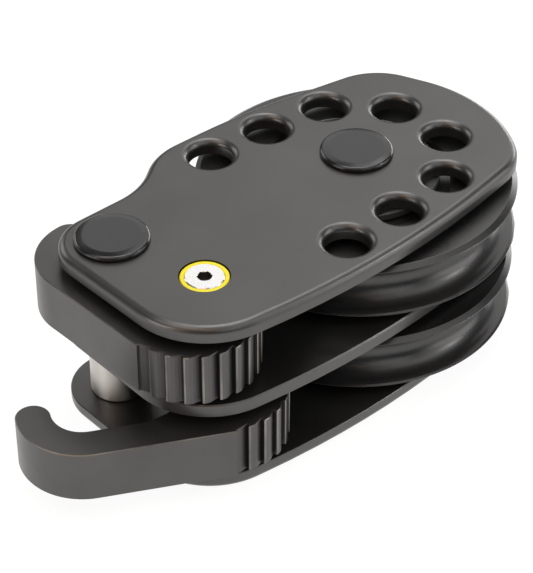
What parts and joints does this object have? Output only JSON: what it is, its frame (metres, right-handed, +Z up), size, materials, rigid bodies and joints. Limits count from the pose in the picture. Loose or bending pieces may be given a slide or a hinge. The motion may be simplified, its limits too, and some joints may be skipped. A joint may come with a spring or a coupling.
{
  "type": "double foot block with lock-off levers",
  "caption": "Deck foot block: stacked rope sheaves on one axle between rounded black plates, each with a hooked cam lever that clamps the rope.",
  "frame": {"origin": "on the underside of the bottom plate, midway between the axle and the rear post", "axes": "+Z up from the deck along the axle, +X from the rear post towards the sheaves"},
  "size_m": [0.1763, 0.1049, 0.0614],
  "materials": {
    "cheek_anodised": "hard black anodised, fine blasted satin",
    "sheave_anodised": "turned, black anodised, semi-gloss",
    "lever_anodised": "machined, hard anodised, satin",
    "stainless": "turned stainless steel",
    "cap_plastic": "black, fine satin grain",
    "washer_plastic": "black, smooth",
    "ring_plastic": "yellow, smooth",
    "bearing_plastic": "dark grey, turned"
  },
  "bodies": {
    "frame": {"axle": "stainless", "axle_cap": "cap_plastic", "axle_screw": "stainless", "base_screw": "stainless", "bottom_plate": "cheek_anodised", "lever_bush_lower": "stainless", "lever_bush_upper": "stainless", "lever_washer_lower_bottom": "washer_plastic", "lever_washer_lower_top": "washer_plastic", "lever_washer_upper_bottom": "washer_plastic", "lever_washer_upper_top": "washer_plastic", "middle_plate": "cheek_anodised", "pivot_post": "stainless", "pivot_ring": "ring_plastic", "pivot_screw": "stainless", "race_lower": "stainless", "race_upper": "stainless", "rear_cap": "cap_plastic", "rear_post": "stainless", "rear_screw": "stainless", "rear_spacer_lower": "stainless", "rear_spacer_upper": "stainless", "top_plate": "cheek_anodised"},
    "sheave_lower": {"sheave_lower": "sheave_anodised", "sheave_bush_lower": "bearing_plastic", "side_ring_lower_bottom": "bearing_plastic", "side_ring_lower_top": "bearing_plastic"},
    "sheave_upper": {"sheave_upper": "sheave_anodised", "sheave_bush_upper": "bearing_plastic", "side_ring_upper_bottom": "bearing_plastic", "side_ring_upper_top": "bearing_plastic"},
    "lever_lower": {"lever_lower": "lever_anodised"},
    "lever_upper": {"lever_upper": "lever_anodised"}
  },
  "joints": [
    {"name": "sheave_lower_spin", "type": "hinge", "parent": "frame", "child": "sheave_lower", "pos_m": [0.04175, 0, 0.01625], "axis": [0, 0, 1], "continuous": true},
    {"name": "sheave_upper_spin", "type": "hinge", "parent": "frame", "child": "sheave_upper", "pos_m": [0.04175, 0, 0.04325], "axis": [0, 0, 1], "continuous": true},
    {"name": "lever_lower_swing", "type": "hinge", "parent": "frame", "child": "lever_lower", "pos_m": [-0.02765, -0.0283, 0.01625], "axis": [0, 0, 1], "range_deg": [-60, 60]},
    {"name": "lever_upper_swing", "type": "hinge", "parent": "frame", "child": "lever_upper", "pos_m": [-0.02765, -0.0283, 0.04325], "axis": [0, 0, 1], "range_deg": [0, 120]}
  ]
}
